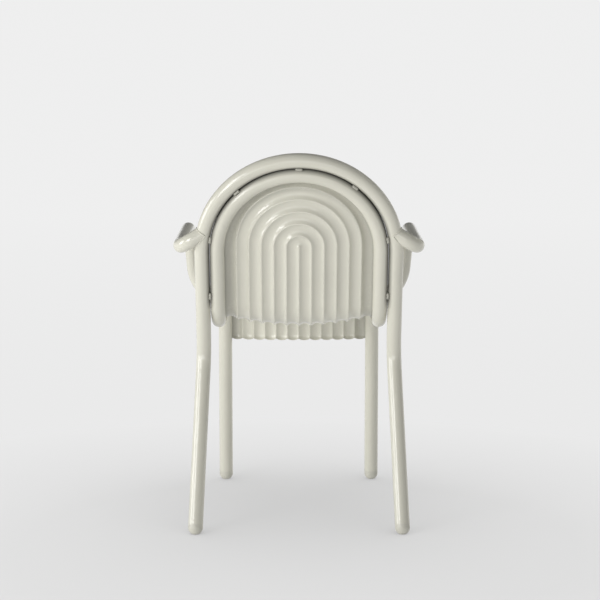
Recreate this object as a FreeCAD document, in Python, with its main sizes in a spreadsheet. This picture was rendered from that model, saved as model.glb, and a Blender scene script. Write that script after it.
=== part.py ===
import FreeCAD, Part
import math
import os

import Sketcher

# Garden armchair: two bent tube frames, two arms, a ribbed sheet shell and four foot glides.
# Millimetres and degrees. The sitter faces -Y, +X is the sitter's left, the floor is Z = 0.
SIZES = {
    "tube_diameter": 32.0,
    "tube_wall": 1.5,
    "weld_gap": 0.2,
    "arch_half_width": 206.9,
    "frame_gap": 0.4,
    "arch_rise": 163.0,
    "recline": 18.0,
    "rail_height": 442.0,
    "rail_front": -260.0,
    "rail_length": 402.6,
    "rear_bend": 70.0,
    "front_bend": 60.0,
    "knee_drop": 67.0,
    "knee_bend": 120.0,
    "rear_foot_splay": 15.3,
    "rear_foot_reach": 101.4,
    "arm_reach": 46.1,
    "arm_joint_angle": 12.0,
    "arm_rear_rise": 173.0,
    "arm_front_rise": 177.6,
    "arm_setback": 92.0,
    "arm_splay": 13.5,
    "arm_elbow_rise": 37.5,
    "arm_rear_bend": 36.0,
    "arm_front_bend": 55.0,
    "arm_elbow_bend": 90.0,
    "tie_diameter": 6.0,
    "tie_length": 15.0,
    "tie_arm_angle": 9.0,
    "tie_left_angle": 46.8,
    "tie_right_angle": 52.0,
    "tie_low_rise": 66.0,
    "shell_gap": 0.3,
    "shell_offset": 6.5,
    "shell_sheet": 1.5,
    "shell_sag": 19.0,
    "flute_depth": 5.2,
    "ridge_radius": 3.0,
    "rib_rise": 13.5,
    "lip_drop": 92.0,
    "hem_bend": 8.0,
    "hem_turn": 48.0,
    "drain_diameter": 6.0,
    "drain_tilt": 22.0,
    "glide_flat": 2.0,
    "glide_collar": 6.0,
    "glide_stem": 24.0,
    "glide_fit": 0.2,
}
FLUTES_PER_SIDE = 6
SHORTEST_RUN = 1e-6
SIDES = {"left": 1, "right": -1}

doc = FreeCAD.newDocument("GardenArmchair")
sheet = doc.addObject("Spreadsheet::Sheet", "Sizes")
nodes = []


def fill_sheet():
    for row, (alias, value) in enumerate(SIZES.items(), start=1):
        sheet.set(f"A{row}", alias)
        sheet.set(f"B{row}", str(value))
        sheet.setAlias(f"B{row}", alias)
    doc.recompute()


def size(alias):
    return float(sheet.get(alias))


def vec(x, y, z):
    return FreeCAD.Vector(x, y, z)


def add_node(item, label):
    item.Label = label
    nodes.append(item)


fill_sheet()
TUBE_RADIUS = size("tube_diameter") / 2
TILT = math.radians(size("recline"))
OUTER_HALF = size("arch_half_width")
INNER_HALF = OUTER_HALF - size("tube_diameter") - size("frame_gap")
RAIL_HEIGHT = size("rail_height")
RAIL_FRONT = size("rail_front")
RAIL_REAR = RAIL_FRONT + size("rail_length")
ARCH_HEIGHT = RAIL_HEIGHT + size("arch_rise")

# The back plane leans rearward from the rear end of the seat rails.
UP = vec(0, math.sin(TILT), math.cos(TILT))
REAR = vec(0, math.cos(TILT), -math.sin(TILT))


def back_depth(height):
    return RAIL_REAR + (height - RAIL_HEIGHT) * math.tan(TILT)


ARCH_CENTRE = vec(0, back_depth(ARCH_HEIGHT), ARCH_HEIGHT)
BACK_TURN = FreeCAD.Rotation(vec(1, 0, 0), -size("recline"))


def back_point(across, rise, offset=0.0):
    return ARCH_CENTRE + vec(across, 0, 0) + UP * rise + REAR * offset


def arch_point(radius, angle):
    turn = math.radians(angle)
    return back_point(radius * math.cos(turn), radius * math.sin(turn))


def fillet_corner(before, corner, after, radius):
    to_before = (before - corner).normalize()
    to_after = (after - corner).normalize()
    half = to_before.getAngle(to_after) / 2
    reach = radius / math.tan(half)
    middle = (to_before + to_after).normalize()
    centre = corner + middle * (radius / math.sin(half))
    return corner + to_before * reach, centre - middle * radius, corner + to_after * reach, centre


def bent_edges(points, radii):
    # Straight runs joined by tangent arcs, one radius for each inner point.
    edges = []
    start = points[0]
    for index, radius in enumerate(radii, start=1):
        first, middle, last, _ = fillet_corner(points[index - 1], points[index], points[index + 1], radius)
        if (first - start).Length > SHORTEST_RUN:
            edges.append(Part.LineSegment(start, first))
        edges.append(Part.Arc(first, middle, last))
        start = last
    edges.append(Part.LineSegment(start, points[-1]))
    return edges


def tube_path(name, points, radii):
    path = doc.addObject("Part::Feature", name + "_path")
    path.Shape = Part.Wire([edge.toShape() for edge in bent_edges(points, radii)])
    return path


def swept_rod(name, path, radius):
    circle = doc.addObject("Part::Circle", name + "_section")
    circle.setExpression("Radius", radius)
    first = path.Shape.Edges[0]
    start = first.valueAt(first.FirstParameter)
    heading = first.tangentAt(first.FirstParameter)
    circle.Placement = FreeCAD.Placement(start, FreeCAD.Rotation(vec(0, 0, 1), heading))
    rod = doc.addObject("Part::Sweep", name)
    rod.Sections = [circle]
    rod.Spine = (path, [f"Edge{index + 1}" for index in range(len(path.Shape.Edges))])
    rod.Solid = True
    rod.Frenet = False
    return rod


def cut(name, base, tool):
    result = doc.addObject("Part::Cut", name)
    result.Base = base
    result.Tool = tool
    return result


def hollow_tube(name, path):
    rod = swept_rod(name + "_rod", path, "Sizes.tube_diameter / 2")
    bore = swept_rod(name + "_bore", path, "Sizes.tube_diameter / 2 - Sizes.tube_wall")
    return cut(name + "_hollow", rod, bore)


def weld_clearance(name, path):
    return swept_rod(name + "_clearance", path, "Sizes.tube_diameter / 2 + Sizes.weld_gap")


def leg_end(centre, toward):
    # The tube stops on the glide's collar.
    return centre + (toward - centre).normalize() * size("glide_collar")


def foot_height():
    # The dome's centre stands lower than its radius, by what the floor takes off it.
    return TUBE_RADIUS - size("glide_flat")


def rear_foot(side):
    across = OUTER_HALF + size("rear_foot_splay")
    return vec(side * across, RAIL_REAR + size("rear_foot_reach"), foot_height())


def rear_knee(side):
    height = RAIL_HEIGHT - size("knee_drop")
    return vec(side * OUTER_HALF, back_depth(height), height)


def front_foot(side):
    return vec(side * INNER_HALF, RAIL_FRONT, foot_height())


def front_corner(side):
    return vec(side * INNER_HALF, RAIL_FRONT, RAIL_HEIGHT)


def outer_frame_path():
    points = [
        leg_end(rear_foot(1), rear_knee(1)),
        rear_knee(1),
        back_point(OUTER_HALF, OUTER_HALF),
        back_point(-OUTER_HALF, OUTER_HALF),
        rear_knee(-1),
        leg_end(rear_foot(-1), rear_knee(-1)),
    ]
    radii = [size("knee_bend"), OUTER_HALF, OUTER_HALF, size("knee_bend")]
    return tube_path("outer_frame", points, radii)


def inner_frame_path():
    rear_left = vec(INNER_HALF, RAIL_REAR, RAIL_HEIGHT)
    rear_right = vec(-INNER_HALF, RAIL_REAR, RAIL_HEIGHT)
    points = [
        leg_end(front_foot(1), front_corner(1)),
        front_corner(1),
        rear_left,
        back_point(INNER_HALF, INNER_HALF),
        back_point(-INNER_HALF, INNER_HALF),
        rear_right,
        front_corner(-1),
        leg_end(front_foot(-1), front_corner(-1)),
    ]
    bends = [size("front_bend"), size("rear_bend"), INNER_HALF]
    return tube_path("inner_frame", points, bends + bends[::-1])


def arm_path(name, side):
    joint = arch_point(OUTER_HALF, size("arm_joint_angle"))
    half = OUTER_HALF + size("arm_reach")
    front = RAIL_FRONT + size("arm_setback")
    points = [
        vec(side * joint.x, joint.y, joint.z),
        vec(side * half, joint.y, RAIL_HEIGHT + size("arm_rear_rise")),
        vec(side * half, front, RAIL_HEIGHT + size("arm_front_rise")),
        vec(side * (half - size("arm_splay")), front, RAIL_HEIGHT + size("arm_elbow_rise")),
        vec(side * INNER_HALF, front, RAIL_HEIGHT),
    ]
    radii = [size("arm_rear_bend"), size("arm_front_bend"), size("arm_elbow_bend")]
    return tube_path(name, points, radii)


def make_frames():
    outer_path = outer_frame_path()
    inner_path = inner_frame_path()
    add_node(hollow_tube("outer_frame", outer_path), "outer_frame_tube")
    add_node(hollow_tube("inner_frame", inner_path), "inner_frame_tube")
    outer_clear = weld_clearance("outer_frame", outer_path)
    inner_clear = weld_clearance("inner_frame", inner_path)
    for word, side in SIDES.items():
        name = word + "_arm"
        arm = hollow_tube(name, arm_path(name, side))
        coped = cut(name + "_coped", arm, outer_clear)
        add_node(cut(name + "_seated", coped, inner_clear), name + "_tube")


def new_body(name):
    return doc.addObject("PartDesign::Body", name)


def sketch_on(body, name, role):
    sketch = body.newObject("Sketcher::SketchObject", name)
    plane = next(item for item in body.Origin.OriginFeatures if item.Role == role)
    sketch.AttachmentSupport = [(plane, "")]
    sketch.MapMode = "FlatFace"
    return sketch


def joined_ends(first, second):
    # Which end of each curve, 1 for its start and 2 for its end, the two have in common.
    pairs = [
        (one.distanceToPoint(two), here, there)
        for here, one in ((1, first.StartPoint), (2, first.EndPoint))
        for there, two in ((1, second.StartPoint), (2, second.EndPoint))
    ]
    return min(pairs)[1:]


def add_loop(sketch, curves):
    ids = [sketch.addGeometry(curve, False) for curve in curves]
    for here, there in zip(ids, ids[1:] + ids[:1]):
        ends = joined_ends(sketch.Geometry[here], sketch.Geometry[there])
        sketch.addConstraint(Sketcher.Constraint("Coincident", here, ends[0], there, ends[1]))
    return ids


def bind(sketch, constraint, expression):
    index = sketch.addConstraint(constraint)
    sketch.setExpression(f"Constraints[{index}]", expression)


def line(start, end):
    return Part.LineSegment(vec(start[0], start[1], 0), vec(end[0], end[1], 0))


def arc(start, middle, end):
    # A sketch keeps its arcs anticlockwise, so a clockwise one is entered from its other end.
    turn = (middle[0] - start[0]) * (end[1] - middle[1]) - (middle[1] - start[1]) * (end[0] - middle[0])
    first, last = (start, end) if turn > 0 else (end, start)
    return Part.Arc(vec(first[0], first[1], 0), vec(middle[0], middle[1], 0), vec(last[0], last[1], 0))


def tie_body(name, middle, along):
    # A short round bar with domed ends, laid in the groove between the two arches.
    body = new_body(name)
    sketch = sketch_on(body, name + "_profile", "XZ_Plane")
    round_end = size("tie_diameter") / 2
    half = size("tie_length") / 2
    straight = half - round_end
    diagonal = round_end / math.sqrt(2)
    low, side, high, axis = add_loop(sketch, [
        arc((0, -half), (diagonal, -straight - diagonal), (round_end, -straight)),
        line((round_end, -straight), (round_end, straight)),
        arc((round_end, straight), (diagonal, straight + diagonal), (0, half)),
        line((0, half), (0, -half)),
    ])
    sketch.addConstraint(Sketcher.Constraint("Vertical", side))
    sketch.addConstraint(Sketcher.Constraint("Vertical", axis))
    for dome, rim in ((low, 2), (high, 1)):
        sketch.addConstraint(Sketcher.Constraint("PointOnObject", dome, 3, -2))
        sketch.addConstraint(Sketcher.Constraint("Horizontal", dome, 3, dome, rim))
    bind(sketch, Sketcher.Constraint("Radius", low, round_end), "Sizes.tie_diameter / 2")
    length = "Sizes.tie_length / 2"
    bind(sketch, Sketcher.Constraint("DistanceY", -1, 1, axis, 1, half), length)
    bind(sketch, Sketcher.Constraint("DistanceY", axis, 2, -1, 1, half), length)
    turned = body.newObject("PartDesign::Revolution", name + "_turned")
    turned.Profile = sketch
    turned.ReferenceAxis = (sketch, ["V_Axis"])
    turned.Angle = 360
    body.Placement = FreeCAD.Placement(middle, FreeCAD.Rotation(vec(0, 0, 1), along))
    add_node(body, name)


def groove_depth():
    # How far behind the arches' plane a tie lies when it touches both tubes.
    reach = TUBE_RADIUS + size("tie_diameter") / 2 + size("weld_gap")
    return math.sqrt(reach ** 2 - ((OUTER_HALF - INNER_HALF) / 2) ** 2)


def arch_tie(name, angle):
    turn = math.radians(angle)
    along = vec(-math.sin(turn), 0, 0) + UP * math.cos(turn)
    middle = arch_point((OUTER_HALF + INNER_HALF) / 2, angle) + REAR * groove_depth()
    tie_body(name, middle, along)


def make_ties():
    arch_tie("top_tie", 90)
    arch_tie("left_shoulder_tie", size("tie_left_angle"))
    arch_tie("right_shoulder_tie", 180 - size("tie_right_angle"))
    arch_tie("left_arm_tie", size("tie_arm_angle"))
    arch_tie("right_arm_tie", 180 - size("tie_arm_angle"))
    rise = (size("tie_low_rise") - size("arch_rise")) / math.cos(TILT)
    for word, side in SIDES.items():
        middle = back_point(side * (OUTER_HALF + INNER_HALF) / 2, rise, groove_depth())
        tie_body(word + "_low_tie", middle, UP)


def glide_body(name, centre, toward):
    # A domed plug: its stem fills the tube and its collar carries the tube's end.
    body = new_body(name + "_plug")
    sketch = sketch_on(body, name + "_profile", "XZ_Plane")
    dome = TUBE_RADIUS
    stem = TUBE_RADIUS - size("tube_wall") - size("glide_fit")
    collar = size("glide_collar")
    top = collar + size("glide_stem")
    diagonal = dome / math.sqrt(2)
    bulge, side, shoulder, shank, cap, axis = add_loop(sketch, [
        arc((0, -dome), (diagonal, -diagonal), (dome, 0)),
        line((dome, 0), (dome, collar)),
        line((dome, collar), (stem, collar)),
        line((stem, collar), (stem, top)),
        line((stem, top), (0, top)),
        line((0, top), (0, -dome)),
    ])
    sketch.addConstraint(Sketcher.Constraint("Coincident", bulge, 3, -1, 1))
    for upright in (side, shank, axis):
        sketch.addConstraint(Sketcher.Constraint("Vertical", upright))
    for level in (shoulder, cap):
        sketch.addConstraint(Sketcher.Constraint("Horizontal", level))
    sketch.addConstraint(Sketcher.Constraint("PointOnObject", axis, 1, -2))
    sketch.addConstraint(Sketcher.Constraint("PointOnObject", side, 1, -1))
    stem_radius = "Sizes.tube_diameter / 2 - Sizes.tube_wall - Sizes.glide_fit"
    bind(sketch, Sketcher.Constraint("Radius", bulge, dome), "Sizes.tube_diameter / 2")
    bind(sketch, Sketcher.Constraint("DistanceY", side, 1, side, 2, collar), "Sizes.glide_collar")
    bind(sketch, Sketcher.Constraint("DistanceX", -1, 1, shank, 1, stem), stem_radius)
    bind(sketch, Sketcher.Constraint("DistanceY", shank, 1, shank, 2, top - collar), "Sizes.glide_stem")
    turned = body.newObject("PartDesign::Revolution", name + "_turned")
    turned.Profile = sketch
    turned.ReferenceAxis = (sketch, ["V_Axis"])
    turned.Angle = 360
    body.Placement = FreeCAD.Placement(centre, FreeCAD.Rotation(vec(0, 0, 1), toward - centre))
    return body


def floor_cutter(name, centre):
    # Everything below the floor is taken off the dome, which leaves a level disc to stand on.
    block = doc.addObject("Part::Box", name + "_floor")
    for edge in ("Length", "Width", "Height"):
        block.setExpression(edge, "Sizes.tube_diameter * 2")
    wide = size("tube_diameter")
    block.Placement.Base = vec(centre.x - wide, centre.y - wide, -2 * wide)
    return block


def make_glides():
    for word, side in SIDES.items():
        for row, centre, toward in (
            ("rear", rear_foot(side), rear_knee(side)),
            ("front", front_foot(side), front_corner(side)),
        ):
            name = f"{row}_{word}_glide"
            plug = glide_body(name, centre, toward)
            add_node(cut(name + "_foot", plug, floor_cutter(name, centre)), name)


def shell_half_width():
    seat = TUBE_RADIUS + size("shell_gap")
    return INNER_HALF - math.sqrt(seat ** 2 - size("shell_offset") ** 2)


class FluteSection:
    """The sheet's cross-section: equal round flutes with rounded ridges, on a shallow sagging arc.

    Counts are in flutes from the middle ridge. Points are measured from the tube's centre line.
    """

    def __init__(self):
        half = shell_half_width()
        sag = size("shell_sag")
        depth = size("flute_depth")
        self.sheet = size("shell_sheet")
        self.ridge_radius = size("ridge_radius")
        self.sag_radius = (half ** 2 + sag ** 2) / (2 * sag)
        self.sag_centre = sag - size("shell_offset") - self.sag_radius
        self.step = math.asin(half / self.sag_radius) / FLUTES_PER_SIDE
        self.bottom = self.sag_radius - depth
        self.ridge_centre = self.sag_radius - self.ridge_radius
        along = math.cos(self.step / 2)
        cross = 2 * self.bottom * self.ridge_centre * along
        spread = self.ridge_radius ** 2 - self.bottom ** 2 - self.ridge_centre ** 2 + cross
        flute_radius = spread / (2 * (self.bottom - self.ridge_centre * along - self.ridge_radius))
        across = (self.bottom + flute_radius) * math.sin(self.step / 2)
        self.slope = math.asin(across / (flute_radius + self.ridge_radius))

    def point(self, radius, count):
        turn = count * self.step
        return radius * math.sin(turn), self.sag_centre + radius * math.cos(turn)

    def on_ridge(self, count, inset, share):
        # A point on a ridge's round: share goes from -1, where one flute ends, to 1, where the next begins.
        middle = self.point(self.ridge_centre, count)
        turn = count * self.step + share * self.slope
        reach = self.ridge_radius - inset
        return middle[0] + reach * math.sin(turn), middle[1] + reach * math.cos(turn)

    def ridge(self, count):
        return self.on_ridge(count, 0, 0)

    def side(self, first, last, inset):
        # One face of the sheet, from the top of one ridge to the top of another.
        curves = []
        for count in range(last - first):
            near = first + count
            start = 0 if count == 0 else -1
            curves.append([self.on_ridge(near, inset, share) for share in (start, (start + 1) / 2, 1)])
            flute = self.point(self.bottom - inset, near + 0.5)
            curves.append([self.on_ridge(near, inset, 1), flute, self.on_ridge(near + 1, inset, -1)])
        curves.append([self.on_ridge(last, inset, share) for share in (-1, -0.5, 0)])
        return [arc(*curve) for curve in curves]

    def loop(self, first, last):
        near, far = (line(self.ridge(count), self.on_ridge(count, self.sheet, 0)) for count in (first, last))
        return self.side(first, last, 0) + [far] + self.side(first, last, self.sheet)[::-1] + [near]


def back_local(depth, height):
    offset = vec(0, depth, height) - ARCH_CENTRE
    return vec(offset.dot(REAR), offset.dot(UP), 0)


def shell_line():
    # The sheet runs beside the inner tube, a fixed distance to the sitter's side of it.
    offset = size("shell_offset")
    seat_level = RAIL_HEIGHT + offset
    front = RAIL_FRONT - offset
    lean = offset * (1 - math.sin(TILT)) / math.cos(TILT)
    corner = back_local(RAIL_REAR, RAIL_HEIGHT) + vec(-offset, lean, 0)
    points = [
        vec(-offset, size("rib_rise"), 0),
        corner,
        back_local(front, seat_level),
        back_local(front, RAIL_HEIGHT - size("lip_drop")),
    ]
    return points, [size("rear_bend") - offset, size("front_bend") + offset]


def half_turn(feature, sketch):
    feature.Profile = sketch
    feature.ReferenceAxis = (sketch, ["V_Axis"])
    feature.Angle = 180
    feature.Reversed = True


def hem_sketch(body, section):
    # One flute at the foot of the lip, drawn about the upright axis that the sag turns on.
    turn = math.degrees(section.step * -FLUTES_PER_SIDE)
    upright = BACK_TURN.inverted()
    axis_foot = vec(0, RAIL_FRONT + section.sag_centre, RAIL_HEIGHT - size("lip_drop")) - ARCH_CENTRE
    sketch = sketch_on(body, "hem_section", "XY_Plane")
    spin = FreeCAD.Rotation(vec(0, 0, 1), -turn)
    sketch.AttachmentOffset = FreeCAD.Placement(upright.multVec(axis_foot), upright.multiply(spin))
    curves = section.loop(0, 1)
    for curve in curves:
        curve.translate(vec(0, -section.sag_centre, 0))
    add_loop(sketch, curves)
    axis = [section.point(section.sag_radius + size("hem_bend"), count) for count in (0, 1)]
    fold = line(*axis)
    fold.translate(vec(0, -section.sag_centre, 0))
    sketch.addGeometry(fold, True)
    return sketch


def make_hem(body, section):
    # The lip's lower edge curls rearward, flute by flute.
    sketch = hem_sketch(body, section)
    curl = body.newObject("PartDesign::Revolution", "hem_curl")
    curl.Profile = sketch
    curl.ReferenceAxis = (sketch, ["Axis0"])
    curl.setExpression("Angle", "Sizes.hem_turn")
    doc.recompute()
    row = body.newObject("PartDesign::PolarPattern", "hem_row")
    row.Originals = [curl]
    row.Axis = (sketch, ["N_Axis"])
    row.Reversed = True
    row.Occurrences = 2 * FLUTES_PER_SIDE
    row.Angle = math.degrees(section.step) * (2 * FLUTES_PER_SIDE - 1)
    body.Tip = row


def tube_seat_sketch(body):
    # The inner tube's own section, a little larger, which the rib arches are trimmed to.
    sketch = sketch_on(body, "tube_seat", "XY_Plane")
    radius = TUBE_RADIUS + size("shell_gap")
    circle = sketch.addGeometry(Part.Circle(vec(INNER_HALF, 0, 0), vec(0, 0, 1), radius), False)
    sketch.addConstraint(Sketcher.Constraint("PointOnObject", circle, 3, -1))
    inner_half = "Sizes.arch_half_width - Sizes.tube_diameter - Sizes.frame_gap"
    bind(sketch, Sketcher.Constraint("DistanceX", -1, 1, circle, 3, INNER_HALF), inner_half)
    seat_radius = "Sizes.tube_diameter / 2 + Sizes.shell_gap"
    bind(sketch, Sketcher.Constraint("Radius", circle, radius), seat_radius)
    return sketch


def drain_sketch(body, section, bend_centre):
    # One hole through each ridge, low in the bend where water would gather.
    tilt = math.radians(size("drain_tilt"))
    outward = BACK_TURN.inverted().multVec(vec(0, math.sin(tilt), -math.cos(tilt)))
    across = vec(1, 0, 0)
    facing = outward * -1
    sketch = sketch_on(body, "drain_circles", "XY_Plane")
    turn = FreeCAD.Rotation(across, facing.cross(across), facing, "ZXY")
    sketch.AttachmentOffset = FreeCAD.Placement(vec(0, bend_centre.x, bend_centre.y), turn)
    for count in range(1 - FLUTES_PER_SIDE, FLUTES_PER_SIDE):
        centre = vec(section.ridge(count)[0], 0, 0)
        circle = sketch.addGeometry(Part.Circle(centre, vec(0, 0, 1), size("drain_diameter") / 2), False)
        bind(sketch, Sketcher.Constraint("Diameter", circle, size("drain_diameter")), "Sizes.drain_diameter")
    return sketch


def sheet_strip(body, section, points, radii):
    # The back below the rib centre, the seat and the lip, in one run.
    across = sketch_on(body, "sheet_section", "XY_Plane")
    across.setExpression("AttachmentOffset.Base.z", "Sizes.rib_rise")
    add_loop(across, section.loop(-FLUTES_PER_SIDE, FLUTES_PER_SIDE))
    route = sketch_on(body, "sheet_route", "YZ_Plane")
    runs = bent_edges(points, radii)
    for run in runs:
        route.addGeometry(run, False)
    doc.recompute()
    strip = body.newObject("PartDesign::AdditivePipe", "back_seat_and_lip")
    strip.Profile = across
    strip.Spine = (route, [f"Edge{index + 1}" for index in range(len(runs))])


def rib_arches(body, section):
    # Half of the same section, turned about the line through the rib centre.
    half = sketch_on(body, "arch_section", "XY_Plane")
    half.setExpression("AttachmentOffset.Base.z", "Sizes.rib_rise")
    add_loop(half, section.loop(0, FLUTES_PER_SIDE))
    half_turn(body.newObject("PartDesign::Revolution", "rib_arches"), half)


def drain_holes(body, section, bend_centre):
    drains = drain_sketch(body, section, bend_centre)
    doc.recompute()
    pocket = body.newObject("PartDesign::Pocket", "drain_holes")
    pocket.Profile = drains
    pocket.setExpression("Length", "Sizes.rear_bend + Sizes.shell_sag + Sizes.tube_diameter")


def volume_now(body):
    doc.recompute()
    return body.Shape.Volume


def make_shell():
    body = new_body("ribbed_shell")
    section = FluteSection()
    points, radii = shell_line()
    sheet_strip(body, section, points, radii)
    rib_arches(body, section)
    unhemmed = volume_now(body)
    make_hem(body, section)
    whole = volume_now(body)
    half_turn(body.newObject("PartDesign::Groove", "arch_trim"), tube_seat_sketch(body))
    trimmed = volume_now(body)
    drain_holes(body, section, fillet_corner(points[0], points[1], points[2], radii[0])[3])
    body.Placement = FreeCAD.Placement(ARCH_CENTRE, BACK_TURN)
    if not volume_now(body) < trimmed < whole > unhemmed:
        raise RuntimeError("the hem added nothing to the shell, or a cut took nothing from it")
    add_node(body, "ribbed_shell")


def check_document():
    for item in doc.Objects:
        if "Invalid" in item.State or "Error" in item.State:
            raise RuntimeError(f"{item.Label} failed: {item.State}")
    for node in nodes:
        if node.Shape.isNull() or not node.Shape.isValid():
            raise RuntimeError(f"{node.Label} has no valid shape")


make_frames()
make_ties()
make_glides()
make_shell()
doc.recompute()
check_document()
os.makedirs("parts", exist_ok=True)
for node in nodes:
    node.Shape.exportStep(f"parts/{node.Label}.step")
    print(node.Label, len(node.Shape.Solids), round(node.Shape.Volume), len(node.Shape.Faces))
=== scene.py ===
"""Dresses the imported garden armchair: powder coat, weld beads, glides and a plain studio."""

import math

import bmesh
import bpy
from bpy.props import FloatProperty, FloatVectorProperty, IntProperty, PointerProperty
from mathutils import Matrix, Vector


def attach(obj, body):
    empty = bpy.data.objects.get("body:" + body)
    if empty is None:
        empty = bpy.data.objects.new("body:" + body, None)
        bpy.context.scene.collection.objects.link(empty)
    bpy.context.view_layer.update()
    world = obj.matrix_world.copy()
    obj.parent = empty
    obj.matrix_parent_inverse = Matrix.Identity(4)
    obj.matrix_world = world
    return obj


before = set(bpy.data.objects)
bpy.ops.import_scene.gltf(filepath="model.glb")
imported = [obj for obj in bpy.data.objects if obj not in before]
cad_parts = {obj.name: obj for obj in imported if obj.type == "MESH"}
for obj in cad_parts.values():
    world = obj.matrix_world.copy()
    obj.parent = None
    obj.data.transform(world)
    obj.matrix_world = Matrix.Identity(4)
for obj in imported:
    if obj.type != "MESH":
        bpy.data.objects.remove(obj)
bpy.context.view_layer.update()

bl_info = {
    "name": "Garden Armchair",
    "version": (1, 0, 0),
    "blender": (4, 5, 0),
    "location": "View3D > Sidebar > Armchair",
    "description": "Paints and welds a tubular garden armchair and sets up its studio",
    "category": "Object",
}

BODY = "root"

# The frame's sizes and places, as the part's source has them, in metres.
TUBE_RADIUS = 0.016
RECLINE = math.radians(18)
ACROSS = Vector((1, 0, 0))
ARCH_UP = Vector((0, math.sin(RECLINE), math.cos(RECLINE)))
ARCH_REAR = Vector((0, math.cos(RECLINE), -math.sin(RECLINE)))
ARCH_CENTRE = Vector((0, 0.19556, 0.605))
OUTER_ARCH = 0.2069
INNER_ARCH = 0.1745
RAIL_HEIGHT = 0.442
ARM_JOINT_ANGLE = math.radians(12)
ARM_CORNER = Vector((0.253, 0.2089, 0.615))
ARM_ELBOW = Vector((0.2395, -0.168, 0.4795))
ARM_END = Vector((INNER_ARCH, -0.168, RAIL_HEIGHT))
GROOVE_ARCH = (OUTER_ARCH + INNER_ARCH) / 2
GROOVE_END = 0.475
SHELL_ARCH = 0.1595

# The numbers of the colour Mix node's sockets.
MIX_SHARE = 0
MIX_FIRST = 6
MIX_SECOND = 7
MIX_COLOUR = 2
BLACK = (0, 0, 0, 1)

# The painted shade beside the groove and the shell's edge: how far it reaches, and its stops on the
# way.
GROOVE_REACH = 0.01
GROOVE_FADE = 0.02
GROOVE_SHADE = ((0.05, 0.9), (0.2, 0.6), (0.4, 0.4), (0.9, 0))
GROOVE_JOIN = ((0, 0), (1, 1))
SEAM_REACH = 0.04
SEAM_SHADE = ((0, 0.38), (0.15, 0.2), (0.5, 0.18), (0.7, 0))
# Roughness added where the painted shade lies.
SHADED_ROUGHNESS = 0.7

# The powder coat: drifts of colour and gloss, and the finer specks on the orange peel.
COAT_IOR = 1.5
COAT_DRIFT = 0.03
CLOUD_GLOSS = 0.08
PEEL_GLOSS = 0.05
PEEL_SOFTNESS = 0.4
SPECKS_PER_PEEL = 5
SPECK_SHARE = 0.12
TIE_ROUGHNESS = 0.55
# The share of the colour left on the ties: painted shade where they sit in the groove.
TIE_SHADE_DIMMING = 0.6

# The glides' plastic: the flow of the melt and the mould's grain.
PLASTIC_IOR = 1.48
PLASTIC_DRIFT = 0.04
FLOW_SIZE = 0.012
FLOW_GLOSS = 0.12
GRAIN_GLOSS = 0.1
GRAIN_HEIGHT = 0.00001

# The weld beads: the search for the seam, and the beads' form on it.
SEAM_SEARCH = 3 * TUBE_RADIUS
SEAM_HALVINGS = 40
STEPS_PER_RIPPLE = 4
BEAD_LIFT = 0.2

# The softboxes: what they point at, where they hang and how large they are.
ARCH_TOP = Vector((0, 0.19, 0.8))
SEAT_REAR = Vector((0, 0.2, 0.42))
SEAT_TOP = Vector((0, 0, 0.6))
FLOOR_MIDDLE = Vector((0, 0, 0))
KEY_PLACE = Vector((3.21, 3.34, 1.35))
KEY_SIZE = (1.5, 1.9)
SIDE_PLACE = Vector((4.16, 0.77, 0.82))
SIDE_SIZE = (1.86, 1.6)
LOW_PLACE = Vector((0.9, 4.7, 0.42))
LOW_SIZE = (5, 0.7)
FRONT_PLACE = Vector((-2.7, -3.2, 2.1))
FRONT_SIZE = (3.4, 1.4)
OVERHEAD_PLACE = Vector((0, 0, 3))
OVERHEAD_SIZE = (6, 6)

# The camera's sensor, in millimetres.
SENSOR_WIDTH = 36

# The floor: its shades go by the distance from its centre, as a share of the span.
FLOOR_RADIUS = 40
FLOOR_SIDES = 96
FLOOR_CENTRE = Vector((0, 0.35, 0))
FLOOR_SPAN = 10
FAR_START = 0.13
FAR_END = 0.7
FAR_DIP = 0.955
NEAR_FADE = ((0.06, 0), (FAR_START, 1))

# The world: levels by height, and a soft glow on the left and the right behind the chair.
ROOM_RISE = ((0, 0.7), (0.35, 0.2), (1, 0.5))
ROOM_LEVEL = 0.34
ROOM_DEPTH = 0.1
HORIZON = ((0.02, 1), (0.07, 0))
LEFT_REAR = Vector((0.66, 0.75, 0))
LEFT_GLOW = 0.2
RIGHT_REAR = Vector((-0.66, 0.75, 0))
RIGHT_GLOW = 0.05
GLOW_FALL = 4

TUBES = ("outer_frame_tube", "inner_frame_tube", "left_arm_tube", "right_arm_tube")
TIES = (
    "top_tie",
    "left_shoulder_tie",
    "right_shoulder_tie",
    "left_arm_tie",
    "right_arm_tie",
    "left_low_tie",
    "right_low_tie",
)
SHELL = "ribbed_shell"
GLIDES = ("rear_left_glide", "rear_right_glide", "front_left_glide", "front_right_glide")


class PaintSettings(bpy.types.PropertyGroup):
    """The powder coat of the frame and the shell."""

    colour: FloatVectorProperty(
        name="Colour",
        description="Colour of the powder coat",
        subtype="COLOR",
        size=3,
        min=0,
        max=1,
        default=(0.60, 0.588, 0.508),
    )
    roughness: FloatProperty(
        name="Roughness",
        description="Roughness of the semi-gloss coat",
        subtype="FACTOR",
        min=0,
        max=1,
        default=0.13,
    )
    peel_size: FloatProperty(
        name="Orange peel size",
        description="Distance between the soft ripples of the coat",
        unit="LENGTH",
        default=0.0024,
    )
    peel_height: FloatProperty(
        name="Orange peel height",
        description="Height of the soft ripples of the coat",
        unit="LENGTH",
        default=0.000008,
    )
    cloud_size: FloatProperty(
        name="Cloud size",
        description="Size of the areas where the coat is a little thicker or thinner",
        unit="LENGTH",
        default=0.07,
    )


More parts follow.
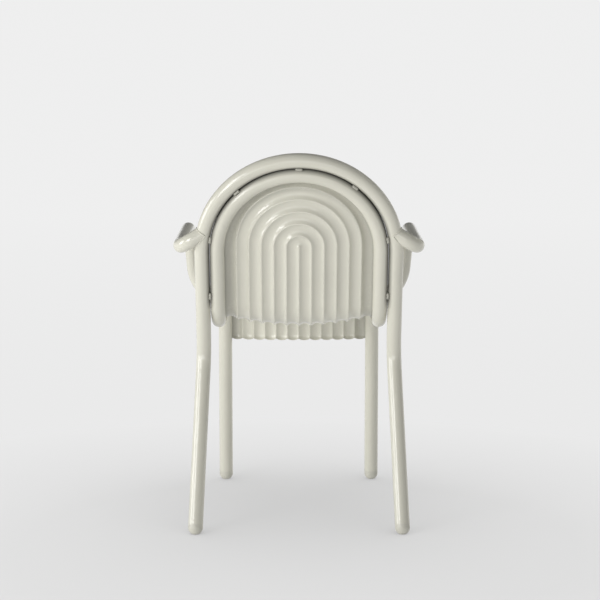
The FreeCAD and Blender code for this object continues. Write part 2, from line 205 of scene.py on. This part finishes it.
class GlideSettings(bpy.types.PropertyGroup):
    """The moulded plastic of the foot glides."""

    colour: FloatVectorProperty(
        name="Colour",
        description="Colour of the glide plastic",
        subtype="COLOR",
        size=3,
        min=0,
        max=1,
        default=(0.53, 0.52, 0.45),
    )
    roughness: FloatProperty(
        name="Roughness",
        description="Roughness of the moulded surface",
        subtype="FACTOR",
        min=0,
        max=1,
        default=0.42,
    )
    grain_size: FloatProperty(
        name="Grain size",
        description="Size of the mould's fine grain",
        unit="LENGTH",
        default=0.0007,
    )


class WeldSettings(bpy.types.PropertyGroup):
    """The weld beads under the paint."""

    tube_bead: FloatProperty(
        name="Tube bead",
        description="Radius of the bead round an arm's end",
        unit="LENGTH",
        default=0.0015,
    )
    ripple_pitch: FloatProperty(
        name="Ripple pitch",
        description="Distance between the ripples that the weld pool leaves",
        unit="LENGTH",
        default=0.0022,
    )
    ripple_height: FloatProperty(
        name="Ripple height",
        description="Height of those ripples, softened by the paint",
        unit="LENGTH",
        default=0.00008,
    )
    sides: IntProperty(
        name="Bead sides",
        description="Number of faces round a bead",
        min=6,
        default=12,
    )


class StudioSettings(bpy.types.PropertyGroup):
    """The camera, the floor and the lamps."""

    camera_place: FloatVectorProperty(
        name="Camera place",
        description="Where the camera stands, behind the chair",
        subtype="TRANSLATION",
        unit="LENGTH",
        size=3,
        default=(0.0071, 4.1787, 1.0721),
    )
    camera_pitch: FloatProperty(
        name="Camera pitch",
        description="How far the camera looks down",
        subtype="ANGLE",
        default=math.radians(8.1737),
    )
    camera_turn: FloatProperty(
        name="Camera turn",
        description="Which way the camera faces, from the front of the chair",
        subtype="ANGLE",
        default=math.radians(179.8664),
    )
    lens: FloatProperty(
        name="Lens",
        description="Focal length on a 36 mm sensor, in millimetres",
        default=113.02,
    )
    background: FloatProperty(
        name="Background",
        description="Level of the far floor and the backdrop",
        subtype="FACTOR",
        min=0,
        max=1,
        default=0.86,
    )
    floor_level: FloatProperty(
        name="Floor",
        description="Level that the floor near the chair gives by itself",
        subtype="FACTOR",
        min=0,
        max=1,
        default=0.377,
    )
    floor_colour: FloatProperty(
        name="Floor colour",
        description="How much of the light on the floor it gives back",
        subtype="FACTOR",
        min=0,
        max=1,
        default=0.15,
    )
    key_power: FloatProperty(
        name="Key power",
        description="Power of the softbox beside the camera, on the left",
        unit="POWER",
        default=80,
    )
    side_power: FloatProperty(
        name="Side power",
        description="Power of the softbox square on to the chair's left",
        unit="POWER",
        default=66,
    )
    low_power: FloatProperty(
        name="Low power",
        description="Power of the long low softbox behind the camera",
        unit="POWER",
        default=40,
    )
    front_power: FloatProperty(
        name="Front power",
        description="Power of the softbox in front of the chair on its right, which spares the floor",
        unit="POWER",
        default=170,
    )
    floor_power: FloatProperty(
        name="Floor power",
        description="Power of the overhead light, which falls on the floor alone",
        unit="POWER",
        default=460,
    )


class Wire:
    """A shader socket that takes part in Python expressions."""

    def __init__(self, tree, socket=None):
        self.tree = tree
        self.socket = socket

    def node(self, kind, settings=None, sockets=None, output=0):
        """Adds a node: its settings first, then the values or wires of its sockets."""
        made = self.tree.nodes.new(kind)
        for name, value in (settings or {}).items():
            if name == "stops":
                fill_ramp(made.color_ramp, value)
            else:
                setattr(made, name, value)
        for name, value in (sockets or {}).items():
            if isinstance(value, Wire):
                self.tree.links.new(value.socket, made.inputs[name])
            else:
                made.inputs[name].default_value = value
        return Wire(self.tree, made.outputs[output]) if len(made.outputs) else None

    def output(self, name):
        """Another output of the same node."""
        return Wire(self.tree, self.socket.node.outputs[name])

    def math(self, operation, first, second=0):
        """Adds a Math node on two values."""
        return self.node("ShaderNodeMath", {"operation": operation}, {0: first, 1: second})

    def __add__(self, other):
        return self.math("ADD", self, other)

    __radd__ = __add__

    def __sub__(self, other):
        return self.math("SUBTRACT", self, other)

    def __rsub__(self, other):
        return self.math("SUBTRACT", other, self)

    def __mul__(self, other):
        return self.math("MULTIPLY", self, other)

    __rmul__ = __mul__

    def __truediv__(self, other):
        return self.math("DIVIDE", self, other)

    def __rtruediv__(self, other):
        return self.math("DIVIDE", other, self)


def fill_ramp(ramp, stops):
    """Gives a colour ramp these stops, each a position and a grey level."""
    while len(ramp.elements) < len(stops):
        ramp.elements.new(1)
    for element, (position, level) in zip(ramp.elements, stops):
        element.position = position
        element.color = (level, level, level, 1)


def new_tree(name):
    """A material with an empty node tree, and the wire that its nodes start from."""
    material = bpy.data.materials.new(name)
    material.use_nodes = True
    material.node_tree.nodes.clear()
    return material, Wire(material.node_tree)


def noise(place, size, detail, roughness=0.5):
    """Noise whose features are about that size."""
    sockets = {"Vector": place, "Scale": 1 / size, "Detail": detail, "Roughness": roughness}
    return place.node("ShaderNodeTexNoise", None, sockets)


def vector_math(operation, first, second, output="Vector"):
    """Adds a Vector Math node on a wire and a fixed vector."""
    return first.node("ShaderNodeVectorMath", {"operation": operation}, {0: first, 1: second}, output)


def ramped(share, stops):
    """The grey level that the stops give for that share."""
    return share.node("ShaderNodeValToRGB", {"stops": stops}, {"Fac": share})


def mixed(start, share, first, second):
    """A colour that goes from the first to the second as the share goes from 0 to 1."""
    sockets = {MIX_SHARE: share, MIX_FIRST: first, MIX_SECOND: second}
    return start.node("ShaderNodeMix", {"data_type": "RGBA"}, sockets, MIX_COLOUR)


def tinted(start, share, colour, spread):
    """A colour that drifts by that spread either way as the share goes from 0 to 1."""
    darker = [*(channel * (1 - spread) for channel in colour), 1]
    lighter = [*(min(1, channel * (1 + spread)) for channel in colour), 1]
    return mixed(start, share, darker, lighter)


def arch_reach(place):
    """Distance from the arches' centre line: round it above, and straight across below."""
    start = Wire(place.tree)
    offset = vector_math("SUBTRACT", place, ARCH_CENTRE)
    across = start.node("ShaderNodeSeparateXYZ", None, {"Vector": offset}, "X")
    rise = vector_math("DOT_PRODUCT", offset, ARCH_UP, "Value")
    above = start.math("MAXIMUM", rise)
    return start.math("POWER", across * across + above * above, 0.5)


def groove_shade(place):
    """Painted shade in the groove between the two arches, darkest at its middle and fading out at the
    groove's lower end.
    """
    start = Wire(place.tree)
    away = start.math("ABSOLUTE", arch_reach(place) - GROOVE_ARCH)
    height = start.node("ShaderNodeSeparateXYZ", None, {"Vector": place}, "Z")
    joined = ramped((height - GROOVE_END) / GROOVE_FADE, GROOVE_JOIN)
    return ramped(away / GROOVE_REACH, GROOVE_SHADE) * joined


def seam_shade(place):
    """Painted shade along the shell's edge beside the tube, fading out inwards."""
    return ramped((SHELL_ARCH - arch_reach(place)) / SEAM_REACH, SEAM_SHADE)


def powder_coat(name, paint, roughness, shade=None, shade_dimming=1):
    """Semi-gloss powder coat: soft orange peel, slow drifts of thickness and gloss, and painted shade
    from a mask and a dimming share.
    """
    material, start = new_tree(name)
    place = start.node("ShaderNodeTexCoord", None, None, "Object")
    cloud = noise(place, paint.cloud_size, 2)
    peel = noise(place, paint.peel_size, 1, PEEL_SOFTNESS)
    speck = noise(place, paint.peel_size / SPECKS_PER_PEEL, 0)
    # The colour is scaled by the dimming share, which paints shade on the ties.
    colour = tinted(start, cloud, [channel * shade_dimming for channel in paint.colour], COAT_DRIFT)
    gloss = roughness + CLOUD_GLOSS * (cloud - 0.5) + PEEL_GLOSS * (peel - 0.5)
    # Painted shade: where the mask is high the colour goes towards black and the coat gets rougher.
    if shade:
        painted_shade = shade(place)
        colour = mixed(start, painted_shade, colour, BLACK)
        gloss = gloss + SHADED_ROUGHNESS * painted_shade
    height = peel + SPECK_SHARE * speck
    bump = {"Strength": 1, "Distance": paint.peel_height, "Height": height}
    sockets = {
        "Base Color": colour,
        "Roughness": gloss,
        "Normal": start.node("ShaderNodeBump", None, bump),
        "IOR": COAT_IOR,
    }
    coat = start.node("ShaderNodeBsdfPrincipled", None, sockets)
    start.node("ShaderNodeOutputMaterial", None, {"Surface": coat})
    return material


def moulded_plastic(name, glide):
    """Smooth moulded plastic with a fine grain."""
    material, start = new_tree(name)
    place = start.node("ShaderNodeTexCoord", None, None, "Object")
    grain = noise(place, glide.grain_size, 1)
    flow = noise(place, FLOW_SIZE, 2)
    bump = {"Strength": 1, "Distance": GRAIN_HEIGHT, "Height": grain}
    sockets = {
        "Base Color": tinted(start, flow, glide.colour, PLASTIC_DRIFT),
        "Roughness": glide.roughness + FLOW_GLOSS * (flow - 0.5) + GRAIN_GLOSS * (grain - 0.5),
        "Normal": start.node("ShaderNodeBump", None, bump),
        "IOR": PLASTIC_IOR,
    }
    plastic = start.node("ShaderNodeBsdfPrincipled", None, sockets)
    start.node("ShaderNodeOutputMaterial", None, {"Surface": plastic})
    return material


def coat_nodes(names, material):
    """Gives CAD nodes a finish."""
    for name in names:
        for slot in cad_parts[name].material_slots:
            slot.material = material


def new_piece(name, mesh, material):
    """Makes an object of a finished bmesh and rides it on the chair."""
    bmesh.ops.recalc_face_normals(mesh, faces=mesh.faces)
    data = bpy.data.meshes.new(name)
    mesh.to_mesh(data)
    mesh.free()
    data.shade_smooth()
    data.materials.append(material)
    piece = bpy.data.objects.new(name, data)
    bpy.context.scene.collection.objects.link(piece)
    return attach(piece, BODY)


def arch_point(radius, angle):
    """A point on an arch's axis."""
    return ARCH_CENTRE + radius * (math.cos(angle) * ACROSS + math.sin(angle) * ARCH_UP)


def off_outer_arch(point):
    """Distance from the outer arch's axis, and the direction straight away from it."""
    radial = (point - ARCH_CENTRE) - (point - ARCH_CENTRE).dot(ARCH_REAR) * ARCH_REAR
    away = point - (ARCH_CENTRE + radial.normalized() * OUTER_ARCH)
    return away.length, away.normalized()


def off_rail(point):
    """Distance from the nearer seat rail's axis, and the direction straight away from it."""
    away = point - Vector((math.copysign(INNER_ARCH, point.x), point.y, RAIL_HEIGHT))
    return away.length, away.normalized()


def saddle_point(start, along, side, off_tube):
    """Where a line on the arm's skin enters the other tube's skin."""
    low, high = 0, SEAM_SEARCH
    for _ in range(SEAM_HALVINGS):
        middle = (low + high) / 2
        if off_tube(start + side * TUBE_RADIUS + along * middle)[0] < TUBE_RADIUS:
            low = middle
        else:
            high = middle
    return start + side * TUBE_RADIUS + along * high


def ring_bead(mesh, start, along, off_tube, weld):
    """Adds a rippled bead round the seam of a tube that ends on another tube."""
    across = along.orthogonal().normalized()
    over = along.cross(across)
    ripples = round(2 * math.pi * TUBE_RADIUS / weld.ripple_pitch)
    profile = bmesh.ops.create_circle(mesh, segments=weld.sides, radius=weld.tube_bead)["verts"]
    upright = Matrix((across, along, over)).transposed().to_4x4()
    bmesh.ops.transform(mesh, matrix=upright, verts=profile)
    bmesh.ops.translate(mesh, vec=start + across * TUBE_RADIUS, verts=profile)
    edges = list({edge for vert in profile for edge in vert.link_edges})
    before = set(mesh.verts) - set(profile)
    bmesh.ops.spin(
        mesh,
        geom=[*profile, *edges],
        cent=start,
        axis=along,
        angle=2 * math.pi,
        steps=ripples * STEPS_PER_RIPPLE,
        use_merge=True,
    )
    for vert in set(mesh.verts) - before:
        offset = vert.co - start
        radial = offset - offset.dot(along) * along
        side = radial.normalized()
        seam = saddle_point(start, along, side, off_tube)
        turn = math.atan2(side.dot(over), side.dot(across))
        swell = 1 + weld.ripple_height / weld.tube_bead * math.cos(ripples * turn)
        lift = (side + off_tube(seam)[1]).normalized() * weld.tube_bead * BEAD_LIFT
        inner = offset - side * TUBE_RADIUS
        vert.co = seam + lift + inner * swell


def arm_run(side):
    """The arm's rear joint on the outer arch, and the way the arm leaves it."""
    joint = arch_point(OUTER_ARCH, ARM_JOINT_ANGLE)
    leaving = (ARM_CORNER - joint).normalized()
    flip = Vector((side, 1, 1))
    return joint * flip, leaving * flip


def arm_foot(side):
    """The arm's front end on the seat rail, and the way the arm leaves it."""
    flip = Vector((side, 1, 1))
    return ARM_END * flip, (ARM_ELBOW - ARM_END).normalized() * flip


def finish(name):
    """The finish that an operator before this one made."""
    material = bpy.data.materials.get(name)
    if material is None:
        raise RuntimeError(f"the finish {name} isn't made yet")
    return material


class ARMCHAIR_OT_paint_frame(bpy.types.Operator):
    """Coats the bent tubes"""

    bl_idname = "armchair.paint_frame"
    bl_label = "Paint the frame"

    def execute(self, context):
        paint = context.scene.armchair_paint
        # The frame's colour carries painted shade in the groove between the arches.
        coat_nodes(TUBES, powder_coat("frame_powder_coat", paint, paint.roughness, groove_shade))
        return {"FINISHED"}


class ARMCHAIR_OT_paint_ties(bpy.types.Operator):
    """Coats the ties between the arches, duller, with painted shade where they sit in the groove"""

    bl_idname = "armchair.paint_ties"
    bl_label = "Paint the ties"

    def execute(self, context):
        paint = context.scene.armchair_paint
        coat_nodes(TIES, powder_coat("tie_powder_coat", paint, TIE_ROUGHNESS, shade_dimming=TIE_SHADE_DIMMING))
        return {"FINISHED"}


class ARMCHAIR_OT_paint_shell(bpy.types.Operator):
    """Coats the ribbed shell"""

    bl_idname = "armchair.paint_shell"
    bl_label = "Paint the shell"

    def execute(self, context):
        paint = context.scene.armchair_paint
        # The shell's colour carries painted shade along its edge beside the tube.
        coat_nodes((SHELL,), powder_coat("shell_powder_coat", paint, paint.roughness, seam_shade))
        return {"FINISHED"}


class ARMCHAIR_OT_mould_glides(bpy.types.Operator):
    """Gives the foot glides their plastic"""

    bl_idname = "armchair.mould_glides"
    bl_label = "Finish the glides"

    def execute(self, context):
        coat_nodes(GLIDES, moulded_plastic("glide_moulding", context.scene.armchair_glide))
        return {"FINISHED"}


class ARMCHAIR_OT_weld_arms(bpy.types.Operator):
    """Adds the beads where the arms meet the outer arch and the seat rails"""

    bl_idname = "armchair.weld_arms"
    bl_label = "Weld the arms"

    def execute(self, context):
        weld = context.scene.armchair_weld
        coat = finish("frame_powder_coat")
        for label, side in (("left", 1), ("right", -1)):
            for end, run, off_tube in (
                ("rear", arm_run, off_outer_arch),
                ("front", arm_foot, off_rail),
            ):
                mesh = bmesh.new()
                start, along = run(side)
                ring_bead(mesh, start, along, off_tube, weld)
                new_piece(f"{label}_arm_{end}_weld", mesh, coat)
        return {"FINISHED"}


class ARMCHAIR_OT_set_stage(bpy.types.Operator):
    """Builds the floor, the lamps, the world and the camera"""

    bl_idname = "armchair.set_stage"
    bl_label = "Set the stage"

    def execute(self, context):
        studio = context.scene.armchair_studio
        context.scene.view_settings.view_transform = "Standard"
        floor = lay_floor(studio)
        light_world(context.scene, studio)
        hang_softbox("key_softbox", KEY_PLACE, ARCH_TOP, KEY_SIZE, studio.key_power)
        hang_softbox("side_softbox", SIDE_PLACE, ARCH_TOP, SIDE_SIZE, studio.side_power)
        hang_softbox("low_softbox", LOW_PLACE, SEAT_REAR, LOW_SIZE, studio.low_power)
        front = hang_softbox("front_softbox", FRONT_PLACE, SEAT_TOP, FRONT_SIZE, studio.front_power)
        front.visible_glossy = False
        link_light(front, floor, "EXCLUDE")
        overhead = hang_softbox(
            "floor_softbox", OVERHEAD_PLACE, FLOOR_MIDDLE, OVERHEAD_SIZE, studio.floor_power
        )
        link_light(overhead, floor, "INCLUDE")
        stand_camera(context.scene, studio)
        return {"FINISHED"}


def grey(level):
    """A colour for that level."""
    return (level, level, level, 1)


def lay_floor(studio):
    """A wide pale floor that fades into the background."""
    material, start = new_tree("studio_floor")
    place = start.node("ShaderNodeTexCoord", None, None, "Object")
    reach = vector_math("DISTANCE", place, FLOOR_CENTRE, "Value") / FLOOR_SPAN
    fade = ramped(reach, NEAR_FADE)
    shade = ramped(reach, ((FAR_START, studio.background * FAR_DIP), (FAR_END, studio.background)))
    near = start.node(
        "ShaderNodeBsdfPrincipled",
        None,
        {
            "Base Color": grey(studio.floor_colour),
            "Roughness": 1,
            "Specular IOR Level": 0,
            "Emission Color": grey(studio.floor_level),
            "Emission Strength": 1,
        },
    )
    far = start.node("ShaderNodeEmission", None, {"Color": shade})
    blended = start.node("ShaderNodeMixShader", None, {0: fade, 1: near, 2: far})
    start.node("ShaderNodeOutputMaterial", None, {"Surface": blended})
    mesh = bmesh.new()
    bmesh.ops.create_circle(mesh, cap_ends=True, segments=FLOOR_SIDES, radius=FLOOR_RADIUS)
    data = bpy.data.meshes.new("studio_floor")
    mesh.to_mesh(data)
    mesh.free()
    data.materials.append(material)
    floor = bpy.data.objects.new("studio_floor", data)
    bpy.context.scene.collection.objects.link(floor)
    return floor


def glow(place, way):
    """A soft glow round that direction."""
    start = Wire(place.tree)
    toward = start.math("MAXIMUM", vector_math("DOT_PRODUCT", place, way, "Value"))
    return start.math("POWER", toward, GLOW_FALL)


def light_world(scene, studio):
    """A pale horizon that carries the floor on, under a dim room that is brighter behind the camera."""
    world = bpy.data.worlds.new("studio_world")
    world.use_nodes = True
    world.node_tree.nodes.clear()
    start = Wire(world.node_tree)
    place = start.node("ShaderNodeTexCoord", None, None, "Generated")
    depth = start.node("ShaderNodeSeparateXYZ", None, {"Vector": place}, "Y")
    height = depth.output("Z")
    room = ramped(height, ROOM_RISE) * (ROOM_LEVEL + ROOM_DEPTH * depth)
    room = room + LEFT_GLOW * glow(place, LEFT_REAR) + RIGHT_GLOW * glow(place, RIGHT_REAR)
    level = room + ramped(height, HORIZON) * (studio.background - room)
    light = start.node("ShaderNodeBackground", None, {"Color": level, "Strength": 1})
    start.node("ShaderNodeOutputWorld", None, {"Surface": light})
    scene.world = world


def hang_softbox(name, place, target, size, power):
    """A rectangular softbox that points at the target."""
    lamp = bpy.data.lights.new(name, "AREA")
    lamp.shape = "RECTANGLE"
    lamp.size, lamp.size_y = size
    lamp.energy = power
    box = bpy.data.objects.new(name, lamp)
    box.location = place
    box.rotation_euler = (target - place).to_track_quat("-Z", "Y").to_euler()
    bpy.context.scene.collection.objects.link(box)
    return box


def link_light(lamp, floor, state):
    """Lets a lamp light the floor alone, or everything but the floor."""
    lit = bpy.data.collections.new(f"{lamp.name}_link")
    lit.objects.link(floor)
    lit.collection_objects[0].light_linking.link_state = state
    lamp.light_linking.receiver_collection = lit


def stand_camera(scene, studio):
    """The camera behind the chair, a little above its top."""
    data = bpy.data.cameras.new("studio_camera")
    data.lens = studio.lens
    data.sensor_width = SENSOR_WIDTH
    camera = bpy.data.objects.new("studio_camera", data)
    camera.location = studio.camera_place
    camera.rotation_euler = (math.pi / 2 - studio.camera_pitch, 0, studio.camera_turn)
    scene.collection.objects.link(camera)
    scene.camera = camera


class ARMCHAIR_PT_sidebar(bpy.types.Panel):
    """Lists the steps and the settings of the armchair"""

    bl_idname = "ARMCHAIR_PT_sidebar"
    bl_label = "Garden Armchair"
    bl_space_type = "VIEW_3D"
    bl_region_type = "UI"
    bl_category = "Armchair"

    def draw(self, context):
        for settings, steps in STEPS:
            box = self.layout.box()
            group = getattr(context.scene, settings)
            for name in group.bl_rna.properties.keys():
                if name not in ("rna_type", "name"):
                    box.prop(group, name)
            for step in steps:
                box.operator(step.bl_idname)


STEPS = (
    ("armchair_paint", (ARMCHAIR_OT_paint_frame, ARMCHAIR_OT_paint_ties, ARMCHAIR_OT_paint_shell)),
    ("armchair_glide", (ARMCHAIR_OT_mould_glides,)),
    ("armchair_weld", (ARMCHAIR_OT_weld_arms,)),
    ("armchair_studio", (ARMCHAIR_OT_set_stage,)),
)
GROUPS = {
    "armchair_paint": PaintSettings,
    "armchair_glide": GlideSettings,
    "armchair_weld": WeldSettings,
    "armchair_studio": StudioSettings,
}
CLASSES = (
    *GROUPS.values(),
    *(step for _, steps in STEPS for step in steps),
    ARMCHAIR_PT_sidebar,
)


def register():
    for made in CLASSES:
        bpy.utils.register_class(made)
    for name, group in GROUPS.items():
        setattr(bpy.types.Scene, name, PointerProperty(type=group))


def unregister():
    for name in GROUPS:
        delattr(bpy.types.Scene, name)
    for made in reversed(CLASSES):
        bpy.utils.unregister_class(made)


def main():
    register()
    bpy.ops.armchair.paint_frame()
    bpy.ops.armchair.paint_ties()
    bpy.ops.armchair.paint_shell()
    bpy.ops.armchair.mould_glides()
    bpy.ops.armchair.weld_arms()
    bpy.ops.armchair.set_stage()


if __name__ == "__main__":
    main()
